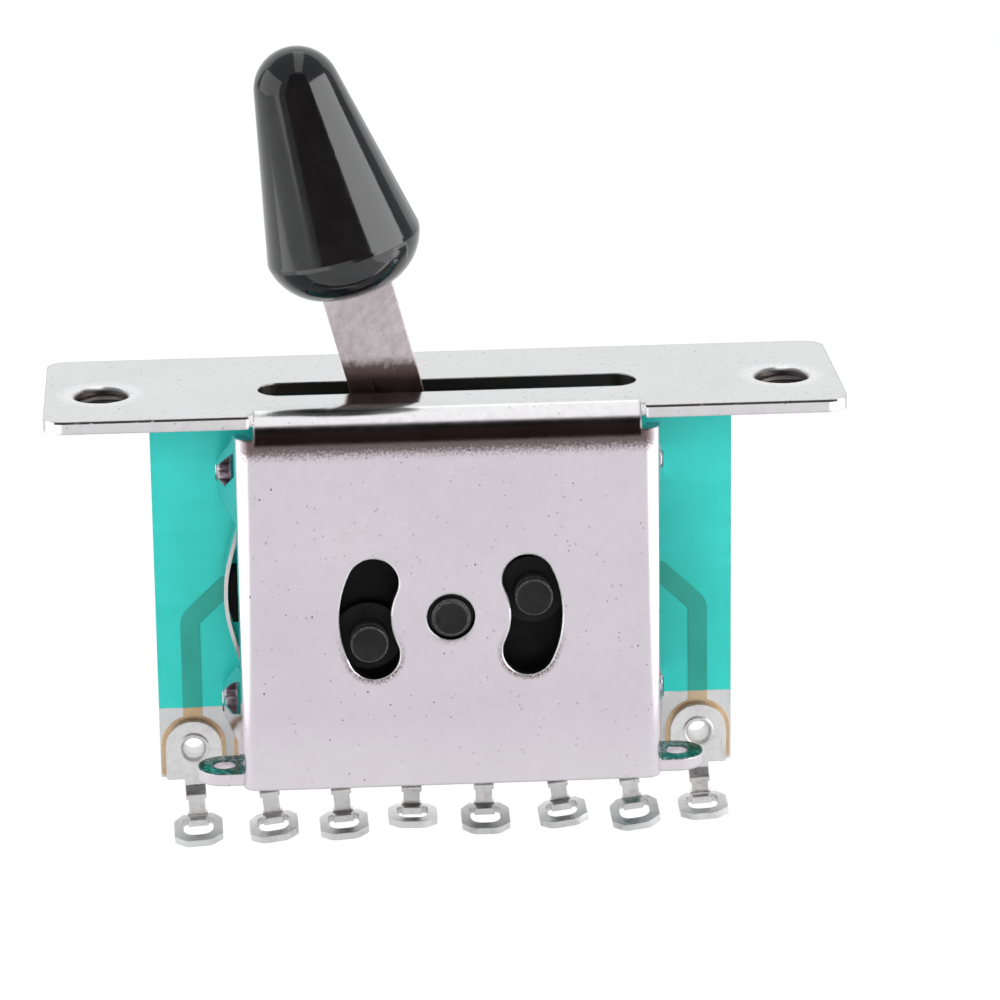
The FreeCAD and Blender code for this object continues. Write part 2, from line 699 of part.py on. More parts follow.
flat = new_sketch(rotor, "nose_outline", "XZ_Plane", lifted(size["journal_step"] - 0.1))
circle(flat, "0", "0", "Sizes.nose_radius")
nose_end = pad(rotor, "journal_nose", flat, "Sizes.journal_face - Sizes.journal_step + 0.1")
names = round_edges(nose_end, size["nose_radius"], -size["journal_face"], "y")
dress(rotor, "Chamfer", "nose_chamfer", nose_end, names, "nose_break")

flat = new_sketch(rotor, "rear_journal_outline", "XZ_Plane", lifted(-size["journal_back"]))
circle(flat, "0", "0", "Sizes.journal_radius")
pad(rotor, "rear_journal", flat, "Sizes.journal_back - Sizes.rotor_back + 0.1")

flat = new_sketch(rotor, "blade_slot_outline", "XZ_Plane")
slot_half = size["blade_width"] / 2 + size["slip_gap"]
outline(flat, [
    (-slot_half, size["blade_foot"] - size["slip_gap"]),
    (slot_half, size["blade_foot"] - size["slip_gap"]),
    (slot_half, size["rotor_radius"] + 0.5),
    (-slot_half, size["rotor_radius"] + 0.5),
])
pocket(rotor, "blade_slot", flat, "Sizes.blade_gauge + 2 * Sizes.slip_gap")


# Lever blade: flat steel, seated in the rotor, with a narrower tang inside the knob

blade_half = size["blade_width"] / 2
tang_half = size["tang_width"] / 2
shoulder = size["knob_foot"] + 2.4
lever_blade = new_body("lever_blade", 0.0, 0.0, pivot_z, lean)
flat = new_sketch(lever_blade, "blade_outline", "XZ_Plane")
outline(flat, [
    (-blade_half, size["blade_foot"], 0.3),
    (blade_half, size["blade_foot"], 0.3),
    (blade_half, shoulder, 0.3),
    (tang_half, shoulder),
    (tang_half, size["tang_head"], 0.6),
    (-tang_half, size["tang_head"], 0.6),
    (-tang_half, shoulder),
    (-blade_half, shoulder, 0.3),
])
pad(lever_blade, "blade", flat, "Sizes.blade_gauge", both=True)


# Knob: turned profile with a rounded foot, a sharp widest line, a cone and a round tip

knob = new_body("knob", 0.0, 0.0, pivot_z, lean)
flat = new_sketch(knob, "knob_profile", "XZ_Plane")
foot = size["knob_foot"]
waist = size["knob_waist"]
wide = size["knob_radius"]
tip = size["knob_tip"]
tip_centre = size["knob_head"] - tip
away = math.hypot(wide, waist - tip_centre)
contact = math.atan2(waist - tip_centre, wide) + math.acos(tip / away)
touch = V(tip * math.cos(contact), tip_centre + tip * math.sin(contact), 0)
shoulder_turn = (contact + math.pi / 2) / 2
crown = V(tip * math.cos(shoulder_turn), tip_centre + tip * math.sin(shoulder_turn), 0)
keep(flat, Part.LineSegment(V(0, foot, 0), V(1.7, foot, 0)))
keep(flat, Part.Arc(V(1.7, foot, 0), V(3.85, foot + 1.1, 0), V(wide, waist - 0.25, 0)))
keep(flat, Part.LineSegment(V(wide, waist - 0.25, 0), V(wide, waist, 0)))
keep(flat, Part.LineSegment(V(wide, waist, 0), touch))
keep(flat, Part.Arc(touch, crown, V(0, size["knob_head"], 0)))
keep(flat, Part.LineSegment(V(0, size["knob_head"], 0), V(0, foot, 0)))
spun = knob.newObject("PartDesign::Revolution", "knob_turned")
spun.Profile = flat
spun.ReferenceAxis = (flat, ["V_Axis"])
spun.Angle = 360
doc.recompute()
knob.Tip = spun
flat = new_sketch(knob, "blade_socket_outline", "XZ_Plane")
slip = size["slip_gap"]
outline(flat, [
    (-blade_half - slip, foot - 0.5),
    (blade_half + slip, foot - 0.5),
    (blade_half + slip, shoulder + slip),
    (tang_half + slip, shoulder + slip),
    (tang_half + slip, size["tang_head"] + slip),
    (-tang_half - slip, size["tang_head"] + slip),
    (-tang_half - slip, shoulder + slip),
    (-blade_half - slip, shoulder + slip),
])
pocket(knob, "blade_socket", flat, "Sizes.blade_gauge + 2 * Sizes.slip_gap")


# Wipers: two bronze leaves on the back of the rotor

for side, name in ((-1, "wiper_left"), (1, "wiper_right")):
    wiper = new_body(name, 0.0, 0.0, pivot_z, lean)
    flat = new_sketch(wiper, "leaf_section", "XY_Plane")
    near = size["rotor_back"] + size["wiper_gauge"] / 2
    outline(flat, ribbon([
        (side * 3.6, near),
        (side * 6.4, near, 0.5),
        (side * 8.5, 2.02, 0.4),
        (side * 9.3, 1.6),
    ], size["wiper_gauge"]))
    pad(wiper, "leaf", flat, "Sizes.wiper_width", both=True)


# Detent pad: black block whose nose rests in a notch of the rotor

cam_back = size["rotor_back"]
nose = 1.1
nose_tip = -(size["cam_radius"] - size["notch_depth"]) - 0.05
pad_outer = -13.35
detent_pad = new_body("detent_pad")
flat = new_sketch(detent_pad, "pad_outline", "XZ_Plane", lifted(-cam_back))
low = pivot_z - size["pad_half"]
high = pivot_z + size["pad_half"]
nose_x = nose_tip - nose
keep(flat, Part.Arc(V(nose_x, pivot_z + nose, 0), V(nose_tip, pivot_z, 0),
                    V(nose_x, pivot_z - nose, 0)))
keep(flat, Part.LineSegment(V(nose_x, pivot_z - nose, 0), V(nose_x, low, 0)))
pad_crown = pad_outer + 0.25
keep(flat, Part.LineSegment(V(nose_x, low, 0), V(pad_crown, low, 0)))
keep(flat, Part.Arc(V(pad_crown, low, 0), V(pad_outer, pivot_z, 0), V(pad_crown, high, 0)))
keep(flat, Part.LineSegment(V(pad_crown, high, 0), V(nose_x, high, 0)))
keep(flat, Part.LineSegment(V(nose_x, high, 0), V(nose_x, pivot_z + nose, 0)))
pad(detent_pad, "block", flat, "Sizes.rotor_back + Sizes.cam_front")


# Detent leaf: formed strip, its ends behind the ears, bowed out over the pad

leaf_half = size["leaf_gauge"] / 2
detent_spring = new_body("detent_spring")
flat = new_sketch(detent_spring, "leaf_section", "XZ_Plane", lifted(-size["leaf_back"]))
bow_round = 9.0
bow_turn = math.radians(15.2)
bow = pad_outer - leaf_half - 2 * size["slip_gap"] - bow_round * (1 / math.cos(bow_turn) - 1)
outline(flat, ribbon([
    (-12.1, -5.7),
    (-12.32, -7.4, 4.0),
    (bow, pivot_z, bow_round),
    (-12.36, -18.1, 4.0),
    (-12.2, -19.5),
], size["leaf_gauge"]))
pad(detent_spring, "leaf", flat, "Sizes.leaf_back + Sizes.leaf_front")


# Every piece is checked, then written to its own file

doc.recompute()
for item in doc.Objects:
    if "Invalid" in item.State or "Error" in item.State:
        raise RuntimeError(f"{item.Label} is {item.State}")
for item in doc.Objects:
    if item.TypeId != "PartDesign::Body":
        continue
    shape = item.Shape
    if shape.isNull() or not shape.isValid() or len(shape.Solids) != 1:
        raise RuntimeError(f"{item.Label} is not one valid solid")
    box = shape.BoundBox
    print(f"{item.Label:16s} {shape.Volume:9.3f}  x {box.XMin:7.2f} {box.XMax:7.2f}"
          f"  y {box.YMin:6.2f} {box.YMax:6.2f}  z {box.ZMin:7.2f} {box.ZMax:7.2f}")
    shape.exportStep(f"parts/{item.Label}.step")
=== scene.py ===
import bpy
import math
import numpy as np
from mathutils import Matrix, Vector


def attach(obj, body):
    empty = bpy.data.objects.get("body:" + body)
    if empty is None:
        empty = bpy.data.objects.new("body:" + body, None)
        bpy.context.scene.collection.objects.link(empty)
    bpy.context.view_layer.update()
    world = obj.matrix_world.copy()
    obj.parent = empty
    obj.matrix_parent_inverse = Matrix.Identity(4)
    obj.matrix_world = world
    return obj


# Pickup selector switch: plated frame, blade lever with a black knob, rotor, board and lugs.
# Metres in the CAD frame: X right along the plate, Y back, Z up, origin between the mounting holes.

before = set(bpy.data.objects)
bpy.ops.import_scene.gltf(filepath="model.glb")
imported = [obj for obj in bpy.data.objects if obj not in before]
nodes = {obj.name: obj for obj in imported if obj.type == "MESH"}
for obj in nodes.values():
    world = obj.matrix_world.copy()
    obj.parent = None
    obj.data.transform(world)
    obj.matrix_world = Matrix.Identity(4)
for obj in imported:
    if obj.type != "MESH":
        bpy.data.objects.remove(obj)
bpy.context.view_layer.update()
scene = bpy.context.scene

MM = 0.001
BLACK, WHITE = (0.0, 0.0, 0.0), (1.0, 1.0, 1.0)
LUGS = range(1, 9)
LEVER_LEAN = math.radians(14.9)

# Measures that the finishes follow, in millimetres
HOLE_X = 20.65                                # mounting holes, to either side of the middle
SLOT_MIDDLE, SLOT_LONG, SLOT_WIDE = 0.28, 11.62, 1.49    # lever slot: middle, half length, half width
WALL_FACE = -5.75                             # front of the wall and front edge of the plate
BEND_END = -2.0                               # height where the bend of the plate has become the wall
PIVOT_Z, PIVOT_HOLE = -12.94, 1.46            # height of the pivot and radius of its hole in the wall
ARC_ORBIT, ARC_HALF = 5.19, 1.57              # curved slots: radius of the middle line, half width
ARC_TURN = math.radians(25.8)                 # angle from level to the centre of a slot's round end
EAR_TOP, EAR_START = -22.90, 12.75            # ground ears: height of the top, distance from the middle
BOARD_FACE, BOARD_HALF = 2.37, 17.86          # just behind the front of the board, half its width
MASK_EDGE = -21.05                            # lower edge of the board's solder mask


# Finishes

class Finish:
    """A node material in the making: one Principled shader fed by chained procedural nodes.
    Lengths are given in millimetres of the object."""

    def __init__(self, name):
        self.material = bpy.data.materials.new(name)
        self.material.use_nodes = True
        self.tree = self.material.node_tree
        self.tree.nodes.clear()
        self.out = self.node("ShaderNodeOutputMaterial")
        self.skin = self.node("ShaderNodeBsdfPrincipled")
        self.join(self.skin.outputs["BSDF"], self.out.inputs["Surface"])
        self.place = self.node("ShaderNodeTexCoord").outputs["Object"]

    def node(self, kind, **settings):
        made = self.tree.nodes.new(kind)
        for key, value in settings.items():
            setattr(made, key, value)
        return made

    def join(self, source, target):
        self.tree.links.new(source, target)

    def feed(self, socket, value):
        """Links a socket to another, or sets a plain number or colour on it."""
        if isinstance(value, bpy.types.NodeSocket):
            self.join(value, socket)
        elif isinstance(value, tuple):
            socket.default_value = (*value, 1)
        else:
            socket.default_value = value

    # Coordinates

    def axis(self, name):
        """One object coordinate in millimetres."""
        split = self.node("ShaderNodeSeparateXYZ")
        self.join(self.place, split.inputs["Vector"])
        return self.times(split.outputs[name], 1 / MM)

    def mapped(self, scale=(1, 1, 1), turn=(0, 0, 0), shift=(0, 0, 0)):
        """Object coordinates shifted in metres and turned, then stretched along the turned axes."""
        turned = self.node("ShaderNodeMapping", vector_type="TEXTURE")
        self.join(self.place, turned.inputs["Vector"])
        turned.inputs["Rotation"].default_value = turn
        turned.inputs["Location"].default_value = shift
        stretched = self.node("ShaderNodeMapping")
        self.join(turned.outputs["Vector"], stretched.inputs["Vector"])
        stretched.inputs["Scale"].default_value = scale
        return stretched.outputs["Vector"]

    # Patterns

    def noise(self, size, detail=3.0, rough=0.5, vector=None):
        """Noise whose blotches are about size across."""
        made = self.node("ShaderNodeTexNoise")
        self.join(vector or self.place, made.inputs["Vector"])
        made.inputs["Scale"].default_value = 1 / (size * MM)
        made.inputs["Detail"].default_value = detail
        made.inputs["Roughness"].default_value = rough
        return made.outputs["Fac"]

    def cells(self, size, vector=None):
        """Distance to the nearest of many scattered points, in parts of the size between them."""
        made = self.node("ShaderNodeTexVoronoi")
        self.join(vector or self.place, made.inputs["Vector"])
        made.inputs["Scale"].default_value = 1 / (size * MM)
        return made.outputs["Distance"]

    # Arithmetic

    def calc(self, kind, first, second=0.0):
        """One step of arithmetic on sockets or plain numbers."""
        made = self.node("ShaderNodeMath", operation=kind)
        self.feed(made.inputs[0], first)
        self.feed(made.inputs[1], second)
        return made.outputs["Value"]

    def plus(self, first, second):
        return self.calc("ADD", first, second)

    def minus(self, first, second):
        return self.calc("SUBTRACT", first, second)

    def absolute(self, value):
        return self.calc("ABSOLUTE", value)

    def least(self, first, second):
        return self.calc("MINIMUM", first, second)

    def most(self, first, *others):
        for other in others:
            first = self.calc("MAXIMUM", first, other)
        return first

    def times(self, first, *others):
        for other in others:
            first = self.calc("MULTIPLY", first, other)
        return first

    def hypotenuse(self, first, second):
        return self.calc("SQRT", self.plus(self.times(first, first), self.times(second, second)))

    def level(self, value, low, high, out_low=0.0, out_high=1.0, smooth=False):
        """A value carried from one range to another and clamped."""
        made = self.node("ShaderNodeMapRange", clamp=True)
        made.interpolation_type = "SMOOTHSTEP" if smooth else "LINEAR"
        self.join(value, made.inputs["Value"])
        for end, number in (("From Min", low), ("From Max", high), ("To Min", out_low), ("To Max", out_high)):
            made.inputs[end].default_value = number
        return made.outputs["Result"]

    def fade(self, value, near, far, full=1.0):
        """Full up to the near value, nothing past the far one."""
        return self.level(value, near, far, full, 0.0)

    # Masks: one where they hold, zero elsewhere

    def within(self, value, middle, reach):
        """Where a coordinate lies within reach of a middle, with a soft edge of 0.02."""
        return self.fade(self.absolute(self.minus(value, middle)), reach, reach + 0.02)

    def box(self, *sides):
        """Inside a box, each of its sides given as a coordinate, its middle and its reach."""
        return self.times(*(self.within(*side) for side in sides))

    def rounded(self, reach):
        """The normal, rounded over sharp edges within the reach."""
        bevel = self.node("ShaderNodeBevel", samples=4)
        bevel.inputs["Radius"].default_value = reach * MM
        return bevel.outputs["Normal"]

    def edges(self, reach):
        """Along sharp edges: where the rounded normal leaves the true one."""
        facing = self.node("ShaderNodeVectorMath", operation="DOT_PRODUCT")
        self.join(self.rounded(reach), facing.inputs[0])
        self.join(self.node("ShaderNodeNewGeometry").outputs["True Normal"], facing.inputs[1])
        return self.fade(facing.outputs["Value"], 0.86, 0.97)

    def above_mask_edge(self):
        """Above the slightly wavy lower edge of the board's solder mask."""
        wavy = self.plus(self.axis("Z"), self.times(self.noise(1.2, 1.0), 0.12))
        return self.level(wavy, MASK_EDGE + 0.05, MASK_EDGE + 0.09)

    def rim_of_openings(self, x, z):
        """Distance outside the edges of the pivot hole and the two curved slots of the wall.
        To a slot: the lesser of |reach - orbit| between its end angles and the distance to the
        centre of its round end, less its half width."""
        across, up = self.absolute(x), self.absolute(self.minus(z, PIVOT_Z))
        reach = self.hypotenuse(across, up)
        end_x, end_z = ARC_ORBIT * math.cos(ARC_TURN), ARC_ORBIT * math.sin(ARC_TURN)
        to_end = self.hypotenuse(self.minus(across, end_x), self.minus(up, end_z))
        to_arc = self.absolute(self.minus(reach, ARC_ORBIT))
        past_end = self.calc("GREATER_THAN", self.calc("ARCTAN2", up, across), ARC_TURN)
        out_of_the_way = 1000.0
        to_slot = self.least(self.plus(to_arc, self.times(past_end, out_of_the_way)), to_end)
        return self.least(self.minus(to_slot, ARC_HALF), self.minus(reach, PIVOT_HOLE))

    # Colour, relief and the shader itself

    def ramp(self, factor, *stops):
        """A colour ramp through (position, colour) stops."""
        made = self.node("ShaderNodeValToRGB")
        self.join(factor, made.inputs["Fac"])
        points = made.color_ramp.elements
        while len(points) < len(stops):
            points.new(0.5)
        for point, (position, colour) in zip(points, stops):
            point.position = position
            point.color = (*colour, 1)
        return made.outputs["Color"]

    def mix(self, factor, first, second):
        """The first colour where the factor is zero, the second where it is one."""
        made = self.node("ShaderNodeMix", data_type="RGBA", blend_type="MIX")
        self.feed(made.inputs["Factor"], factor)
        self.feed(made.inputs["A"], first)
        self.feed(made.inputs["B"], second)
        return made.outputs["Result"]

    def relief(self, *layers, edge):
        """Bumps laid over each other as (height socket, depth), over edges rounded within a reach."""
        normal = self.rounded(edge)
        for height, depth in layers:
            bump = self.node("ShaderNodeBump")
            bump.inputs["Strength"].default_value = 1.0
            bump.inputs["Distance"].default_value = depth * MM
            self.join(height, bump.inputs["Height"])
            self.join(normal, bump.inputs["Normal"])
            normal = bump.outputs["Normal"]
        self.join(normal, self.skin.inputs["Normal"])

    def look(self, colour, rough, **plain):
        """Colour, roughness and plain values for other sockets of the shader."""
        self.feed(self.skin.inputs["Base Color"], colour)
        self.feed(self.skin.inputs["Roughness"], rough)
        for key, value in plain.items():
            self.skin.inputs[key.replace("_", " ")].default_value = value
        return self.material


def nickel_plate():
    """Bright nickel on rolled steel, neutral on the plate and pinkish on the wall, with painted glints,
    highlights, reflections and shade.
    """
    f = Finish("nickel_plate")
    x, y, z = (f.axis(name) for name in "XYZ")
    side = f.absolute(x)
    cloud = f.noise(7.0, 4.0, 0.6)
    mottle = f.noise(0.55, 3.0, 0.6)
    pinkish = f.ramp(cloud, (0.3, (0.76, 0.695, 0.755)), (0.55, (0.80, 0.735, 0.795)),
                     (0.75, (0.83, 0.78, 0.825)))
    neutral = f.ramp(cloud, (0.3, (0.78, 0.78, 0.775)), (0.7, (0.84, 0.84, 0.835)))
    tone = f.mix(f.level(z, -1.6, -0.2), pinkish, neutral)
    tone = f.mix(f.level(mottle, 0.4, 0.75, 0.0, 0.22), tone, (0.70, 0.65, 0.69))

    # Specks, painted glints, a ragged band of painted dark reflection under the bend, and sparse pits
    specks = f.times(f.fade(f.cells(0.48), 0.06, 0.17), f.level(f.noise(0.9, 2.0), 0.44, 0.56))
    tone = f.mix(f.times(specks, 0.8), tone, (0.34, 0.28, 0.30))
    # Painted highlight: scattered bright glints
    painted_glints = f.fade(f.cells(0.7, f.mapped(shift=(0.013, 0.007, 0.003))), 0.04, 0.10, 0.6)
    tone = f.mix(painted_glints, tone, (1.0, 0.98, 1.0))
    # Painted reflection: the dark front mirrored in the bend, carried down the wall in a ragged brown band
    ragged = f.plus(z, f.times(f.noise(0.16, 3.0, 0.8), 1.8))
    painted_dark_reflection = f.times(f.level(ragged, BEND_END - 0.05, BEND_END + 0.75, 0.0, 0.88, smooth=True),
                      f.fade(y, WALL_FACE + 0.02, WALL_FACE + 0.30), f.fade(z, -1.0, -0.95))
    tone = f.mix(painted_dark_reflection, tone, (0.095, 0.055, 0.045))
    pits = f.times(f.fade(f.cells(1.1), 0.03, 0.075), f.level(f.noise(2.2, 1.0), 0.45, 0.51))
    tone = f.mix(f.times(pits, 0.8), tone, (0.20, 0.15, 0.15))

    # Grit under the wall's openings, a painted highlight round their rims, and a painted lighter foot of the
    # wall where it mirrors the bright floor
    rim = f.rim_of_openings(x, z)
    on_face = f.within(y, WALL_FACE, 0.12)
    below = f.level(z, PIVOT_Z - 0.8, PIVOT_Z - 3.2)
    grit = f.times(f.level(f.noise(0.14, 2.0, 0.8), 0.44, 0.50), f.fade(rim, 0.14, 0.40), below, on_face)
    tone = f.mix(f.times(grit, 0.9), tone, (0.13, 0.07, 0.055))
    # Painted highlight: a thin bright line round the rounded edges of the openings
    painted_rim_highlight = f.times(f.fade(rim, 0.05, 0.10), on_face)
    tone = f.mix(f.times(painted_rim_highlight, 0.9), tone, WHITE)
    # Painted reflection of the bright floor: lighter towards the foot of the wall
    tone = f.mix(f.level(z, -19.0, -23.7, 0.0, 0.45), tone, (0.97, 0.92, 0.96))

    # Sheared faces of the slots and bores, dull cut steel darkened by painted shade, and a broken line of
    # painted dark reflection on the front edge
    in_slot = f.box((x, SLOT_MIDDLE, SLOT_LONG), (y, 0.0, SLOT_WIDE), (z, -0.48, 0.40))
    in_wall = f.box((x, 0.0, 7.1), (y, WALL_FACE + 0.42, 0.34), (z, PIVOT_Z, 4.6))
    from_hole = f.hypotenuse(f.minus(side, HOLE_X), y)
    broken = f.level(f.noise(0.30, 3.0, 0.7, f.mapped((0.35, 1, 1))), 0.32, 0.38)
    # Painted reflection: the dark front mirrored in the rounded top of the front edge
    painted_dark_edge_line = f.times(f.within(y, WALL_FACE, 0.1), f.within(z, -0.10, 0.06), broken)
    cut_faces_and_painted_dark = f.most(in_slot, in_wall, f.fade(from_hole, 1.58, 1.74), painted_dark_edge_line)
    tone = f.mix(f.times(cut_faces_and_painted_dark, 0.94), tone, (0.05, 0.035, 0.03))
    # Painted shade in the bores, lighter on the crests of the thread
    on_thread = f.fade(from_hole, 1.36, 1.46, 0.8)
    tone = f.mix(on_thread, tone, (0.34, 0.31, 0.30))

    # A painted highlight on the dish round each mounting hole, and a painted reflection of the board on the
    # ground ears
    # Painted highlight: a bright halo on the drawn-in rim round each hole
    painted_dish_highlight = f.times(f.level(from_hole, 1.74, 1.84), f.fade(from_hole, 2.0, 2.9, 0.9),
                   f.level(z, -1.0, -0.9), f.level(f.noise(0.3, 3.0, 0.7), 0.30, 0.55))
    tone = f.mix(painted_dish_highlight, tone, WHITE)
    on_ear = f.times(f.within(z, EAR_TOP, 0.06), f.level(side, EAR_START, EAR_START + 0.1))
    scuffed = f.level(f.noise(0.25, 3.0, 0.7), 0.52, 0.60, 1.0, 0.35)
    tone = f.mix(f.times(on_ear, scuffed), tone, (0.055, 0.17, 0.125))

    rough = f.plus(f.level(cloud, 0.3, 0.7, 0.10, 0.18), f.level(mottle, 0.4, 0.7, 0.0, 0.05))
    rough = f.plus(rough, f.times(f.most(pits, cut_faces_and_painted_dark), 0.3))
    streak = f.noise(0.35, 2.0, 0.5, f.mapped((1, 1, 0.06)))
    f.relief((mottle, 0.0022), (f.noise(0.2, 2.0), 0.0009), (streak, 0.0016), (f.times(pits, -1.0), 0.02),
             edge=0.2)
    return f.look(tone, rough, Metallic=1.0)


def blade_steel():
    """Blanked steel drawn out lengthwise: dark stains, a fine mottle, scratches and a darker foot."""
    f = Finish("blade_steel")
    turned = (0, -LEVER_LEAN, 0)
    long_lines = f.noise(0.12, 3.0, 0.65, f.mapped((1, 1, 0.03), turned))
    fine_lines = f.noise(0.05, 2.0, 0.6, f.mapped((1, 1, 0.05), turned))
    stains = f.noise(2.5, 4.0, 0.6, f.mapped((1, 1, 0.5), turned))
    mottle = f.noise(0.45, 4.0, 0.65, f.mapped((1, 1, 0.6), (0, 0.7, 0)))
    tone = f.ramp(long_lines, (0.25, (0.80, 0.72, 0.745)), (0.5, (0.90, 0.825, 0.85)),
                  (0.8, (0.96, 0.90, 0.915)))
    tone = f.mix(f.level(stains, 0.5, 0.72, 0.0, 0.4), tone, (0.55, 0.48, 0.49))
    tone = f.mix(f.level(mottle, 0.42, 0.60, 0.0, 0.5), tone, (0.62, 0.53, 0.56))
    # Darker towards the foot of the blade, next to the plate
    foot = f.fade(f.plus(f.axis("Z"), f.times(mottle, 1.4)), 2.1, 2.7, 0.9)
    tone = f.mix(foot, tone, (0.16, 0.095, 0.085))
    contour = f.noise(2.6, 1.0, 0.4, f.mapped((1, 1, 0.012), turned))
    scratch = f.fade(f.absolute(f.minus(contour, 0.53)), 0.001, 0.005, 0.5)
    tone = f.mix(scratch, tone, (1.0, 0.96, 0.97))
    rough = f.plus(f.level(long_lines, 0.3, 0.7, 0.24, 0.40), f.level(stains, 0.4, 0.7, 0.0, 0.1))
    f.relief((long_lines, 0.002), (fine_lines, 0.002), (mottle, 0.010), edge=0.08)
    return f.look(tone, rough, Metallic=1.0)


def knob_plastic():
    """Polished black plastic with hairline rub marks and a little haze."""
    f = Finish("knob_plastic")
    haze = f.noise(1.8, 4.0, 0.6)
    rubs = f.noise(0.1, 2.0, 0.6, f.mapped((1, 1, 0.04), (0, -LEVER_LEAN, 0)))
    tone = f.ramp(haze, (0.35, (0.0065, 0.0065, 0.007)), (0.7, (0.011, 0.011, 0.012)))
    rough = f.plus(f.level(haze, 0.35, 0.7, 0.07, 0.12), f.level(rubs, 0.5, 0.75, 0.0, 0.08))
    f.relief((rubs, 0.0006), (f.noise(0.9, 2.0), 0.0015), edge=0.06)
    return f.look(tone, rough, Specular_IOR_Level=0.55, Coat_Weight=0.4, Coat_Roughness=0.05)


def moulded_black(name, dark, pale):
    """Moulded black nylon with a fine grain: painted shade makes it blacker inside the frame; dusty on the rims
    in front.
    """
    f = Finish(name)
    y = f.axis("Y")
    grain = f.noise(0.12, 3.0, 0.6)
    cloud = f.noise(1.4, 3.0, 0.6)
    tone = f.ramp(cloud, (0.3, (dark, dark, dark * 1.05)), (0.7, (pale, pale, pale * 1.03)))
    # Painted shade: near black behind the front of the wall, inside the frame
    tone = f.mix(f.level(y, -5.2, -4.6), tone, (0.0022, 0.0022, 0.0022))
    rims = f.most(f.within(y, -6.52, 0.06), f.within(y, -5.97, 0.11))
    dust = f.times(rims, f.level(grain, 0.40, 0.62, 0.15, 0.8))
    tone = f.mix(dust, tone, (0.12, 0.12, 0.12))
    f.relief((grain, 0.004), (cloud, 0.008), edge=0.08)
    return f.look(tone, f.level(cloud, 0.3, 0.7, 0.42, 0.6), Specular_IOR_Level=0.16)


def board_finish():
    """Laminate with a turquoise mask on its front, a pale bare strip below it and bare weave behind."""
    f = Finish("board_laminate")
    threads = []
    for direction in "XZ":
        wave = f.node("ShaderNodeTexWave", wave_type="BANDS", bands_direction=direction)
        f.join(f.place, wave.inputs["Vector"])
        wave.inputs["Scale"].default_value = 640.0
        wave.inputs["Distortion"].default_value = 1.2
        wave.inputs["Detail"].default_value = 1.0
        threads.append(wave.outputs["Fac"])
    weave = f.times(*threads)
    cloud = f.noise(6.0, 3.0, 0.5)
    ripple = f.noise(0.7, 2.0, 0.5, f.mapped((0.12, 1, 1)))
    mask = f.ramp(cloud, (0.3, (0.023, 0.63, 0.55)), (0.55, (0.030, 0.70, 0.625)), (0.8, (0.042, 0.77, 0.69)))
    mask = f.mix(f.level(ripple, 0.45, 0.7, 0.0, 0.25), mask, (0.022, 0.61, 0.54))
    bare = f.ramp(f.noise(1.6, 4.0, 0.6), (0.3, (0.63, 0.63, 0.635)), (0.7, (0.77, 0.77, 0.775)))
    bare = f.mix(f.times(weave, 0.35), bare, (0.74, 0.735, 0.72))
    masked = f.times(f.above_mask_edge(), f.fade(f.axis("Y"), BOARD_FACE, BOARD_FACE + 0.03))
    tone = f.mix(masked, bare, mask)
    near_edge = f.level(f.absolute(f.axis("X")), BOARD_HALF - 0.56, BOARD_HALF, 0.0, 0.25)
    tone = f.mix(f.times(near_edge, f.level(f.noise(0.8), 0.4, 0.7)), tone, (0.05, 0.30, 0.25))
    f.relief((weave, 0.004), (ripple, 0.006), (masked, 0.02), edge=0.06)
    return f.look(tone, f.level(masked, 0.0, 1.0, 0.55, 0.28), Specular_IOR_Level=0.45)


def track_finish():
    """Copper runs: a darker green under the mask, bare and lightly tarnished below its edge."""
    f = Finish("track_copper")
    cloud = f.noise(1.1, 4.0, 0.6)
    copper = f.ramp(cloud, (0.3, (0.62, 0.40, 0.21)), (0.55, (0.74, 0.53, 0.33)), (0.8, (0.66, 0.56, 0.42)))
    covered = f.ramp(f.noise(2.5, 2.0), (0.3, (0.010, 0.36, 0.285)), (0.7, (0.018, 0.43, 0.345)))
    masked = f.above_mask_edge()
    f.join(f.level(masked, 0.0, 1.0, 0.85, 0.0), f.skin.inputs["Metallic"])
    f.relief((cloud, 0.006), edge=0.05)
    return f.look(f.mix(masked, copper, covered), f.level(masked, 0.0, 1.0, 0.34, 0.28))


def tin_finish(name, dull, edge_darkening):
    """Tin plate: bright with soft waves and scuffs, with so much added roughness and so much darkening along
    sharp edges.
    """
    f = Finish(name)
    cloud = f.noise(1.0, 4.0, 0.6)
    scuff = f.noise(0.1, 2.0, 0.6, f.mapped((1, 1, 0.1)))
    tone = f.ramp(cloud, (0.28, (0.76, 0.745, 0.735)), (0.5, (0.92, 0.91, 0.905)), (0.75, (0.98, 0.975, 0.97)))
    tone = f.mix(f.level(scuff, 0.62, 0.75, 0.0, 0.4), tone, (0.42, 0.40, 0.38))
    # Darker along sharp edges, by the given share
    tone = f.mix(f.times(f.edges(0.06), edge_darkening), tone, (0.25, 0.23, 0.23))
    f.relief((cloud, 0.01), (scuff, 0.003), edge=0.07)
    return f.look(tone, f.plus(f.level(cloud, 0.3, 0.7, 0.24, 0.40), dull), Metallic=1.0)


def rolled_strip(name, width, stretch, depth, dark, pale, smooth, dull):
    """Rolled metal strip: lines of a width, stretched along it, between two tones and roughnesses."""
    f = Finish(name)
    lines = f.noise(width, 2.0, 0.6, f.mapped(stretch))
    f.relief((lines, depth), edge=0.04)
    return f.look(f.ramp(lines, (0.3, dark), (0.7, pale)), f.level(lines, 0.3, 0.7, smooth, dull), Metallic=1.0)


def dress(node, material):
    """Puts one finish on every slot of a CAD node."""
    piece = nodes[node]
    if not piece.material_slots:
        piece.data.materials.append(material)
    for holder in piece.material_slots:
        holder.link = "DATA"
        holder.material = material


